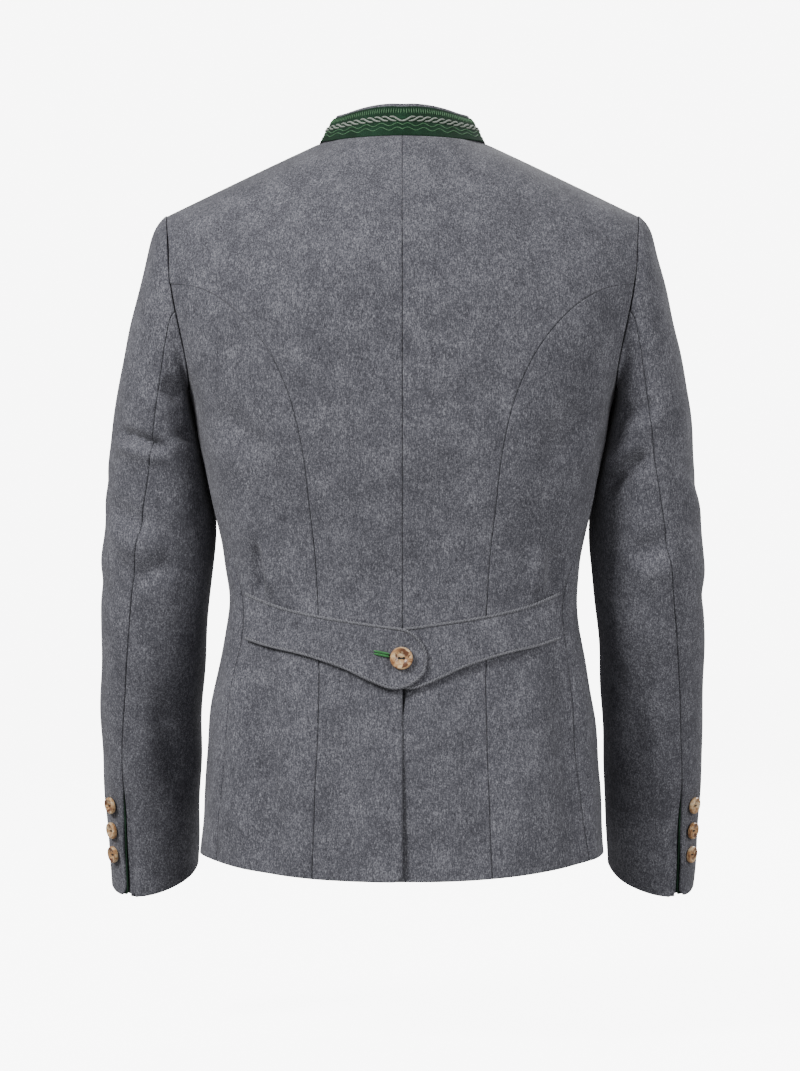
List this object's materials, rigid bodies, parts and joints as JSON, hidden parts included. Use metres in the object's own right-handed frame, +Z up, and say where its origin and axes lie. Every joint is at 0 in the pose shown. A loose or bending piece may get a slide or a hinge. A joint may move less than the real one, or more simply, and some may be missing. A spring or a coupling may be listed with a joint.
{
  "type": "tyrolean loden jacket, worn form held up at the neck, with no wearer or stand",
  "caption": "Hollow filled-out wool jacket with a green stand collar, curved princess seams, a cord-edged half-belt with a horn button and a back vent",
  "frame": {"origin": "middle of the neck opening at the height of the neck points, where the shoulder seams meet the collar; the shoulders hold the jacket up there", "axes": "+Z up, the front faces -Y, the wearer's left is +X"},
  "size_m": [0.593, 0.2814, 0.7705],
  "materials": {
    "loden": "heathered grey fulled wool",
    "felt": "green wool felt",
    "cord": "twisted grey cord",
    "horn": "polished stag horn"
  },
  "bodies": {
    "root": {"back_left": "loden", "back_right": "loden", "side_back_left": "loden", "side_back_right": "loden", "front_left": "loden", "front_right": "loden", "top_sleeve_left": "loden", "top_sleeve_right": "loden", "under_sleeve_left": "loden", "under_sleeve_right": "loden", "collar_inner": "loden", "half_belt_left": "loden", "half_belt_right": "loden", "collar_felt": "felt", "cuff_facing_left": "felt", "cuff_facing_right": "felt", "belt_buttonhole": "felt", "belt_cord_left": "cord", "belt_cord_right": "cord", "belt_button": "horn", "cuff_button_left_1": "horn", "cuff_button_left_2": "horn", "cuff_button_left_3": "horn", "cuff_button_right_1": "horn", "cuff_button_right_2": "horn", "cuff_button_right_3": "horn", "front_button_1": "horn", "front_button_2": "horn", "front_button_3": "horn", "front_button_4": "horn", "front_button_5": "horn"}
  },
  "joints": []
}
